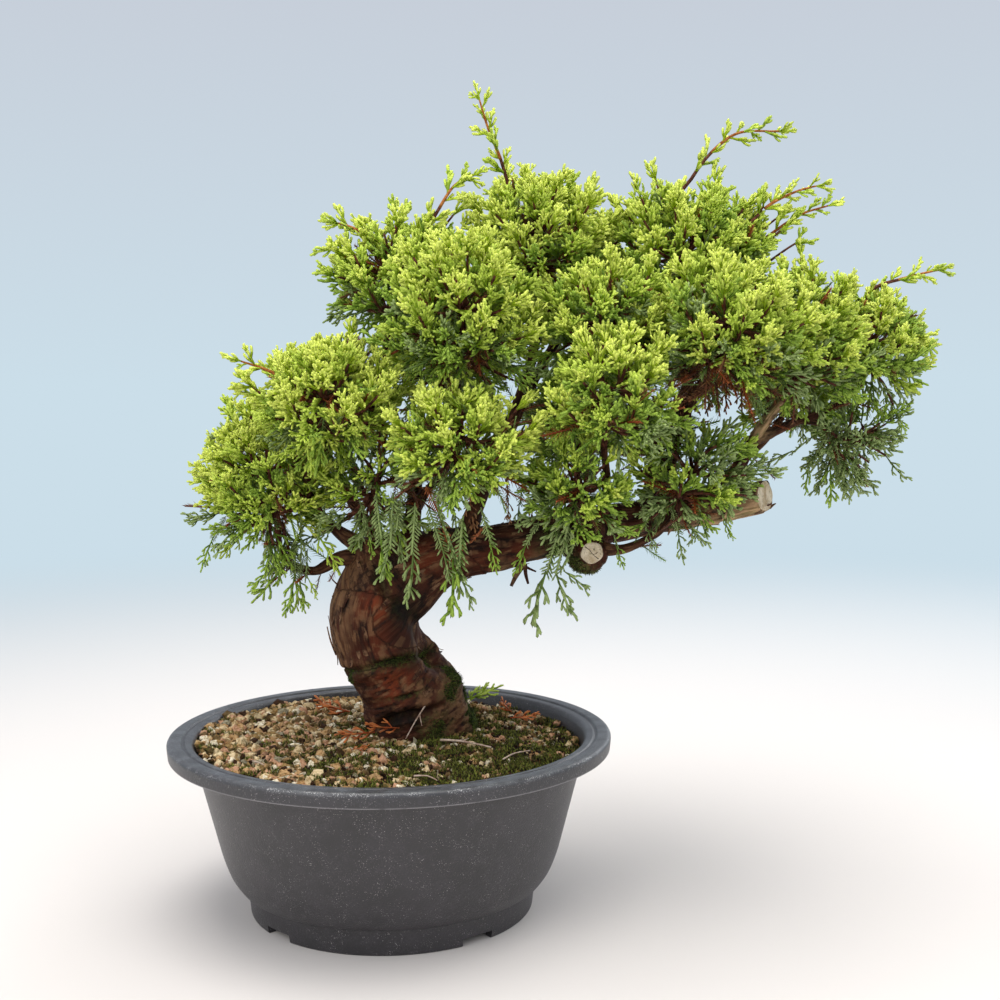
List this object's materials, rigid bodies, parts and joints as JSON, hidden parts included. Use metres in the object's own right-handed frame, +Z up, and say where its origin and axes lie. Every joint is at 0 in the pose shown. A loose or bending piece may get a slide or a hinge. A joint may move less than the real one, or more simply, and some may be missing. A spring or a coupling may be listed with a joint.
{
  "type": "potted juniper bonsai tree",
  "caption": "Informal juniper bonsai with a curved trunk, a long level limb and a clumped evergreen crown, growing in a round plastic training pot.",
  "frame": {"origin": "middle of the pot's flat underside, where it stands", "axes": "+Z up, -Y towards the viewer, +X along the long level limb"},
  "size_m": [0.3973, 0.22, 0.4083],
  "materials": {
    "pot_plastic": "scuffed satin, faint pale speckle",
    "soil_grit": "loose pumice and clay grains with moss",
    "bark": "peeling fibrous bark",
    "foliage": "scale leaves in tight cords"
  },
  "bodies": {
    "root": {"pot": "pot_plastic", "soil": "soil_grit", "trunk": "bark", "main_limb": "bark", "bough_left_low": "bark", "bough_left_middle": "bark", "bough_left_inner": "bark", "bough_rising": "bark", "bough_left_top": "bark", "bough_front_left": "bark", "bough_back_middle": "bark", "bough_back_left": "bark", "bough_crown": "bark", "bough_back_top": "bark", "bough_low_middle": "bark", "bough_front_middle": "bark", "bough_back_low": "bark", "bough_low_right": "bark", "bough_right": "bark", "bough_right_inner": "bark", "bough_right_top": "bark", "bough_back_right": "bark", "bough_far": "bark", "bough_far_right": "bark", "bough_far_low": "bark", "bough_far_back": "bark", "foliage_left_low": "foliage", "foliage_left_middle": "foliage", "foliage_left_top": "foliage", "foliage_left_inner": "foliage", "foliage_front_left": "foliage", "foliage_front_top": "foliage", "foliage_crown_top": "foliage", "foliage_low_middle": "foliage", "foliage_front_middle": "foliage", "foliage_low_right": "foliage", "foliage_right_inner": "foliage", "foliage_right_front": "foliage", "foliage_right_top": "foliage", "foliage_far_middle": "foliage", "foliage_far_right": "foliage", "foliage_far_low": "foliage", "foliage_back_left": "foliage", "foliage_back_middle": "foliage", "foliage_back_top": "foliage", "foliage_back_low": "foliage", "foliage_back_right": "foliage", "foliage_far_back": "foliage"}
  },
  "joints": []
}
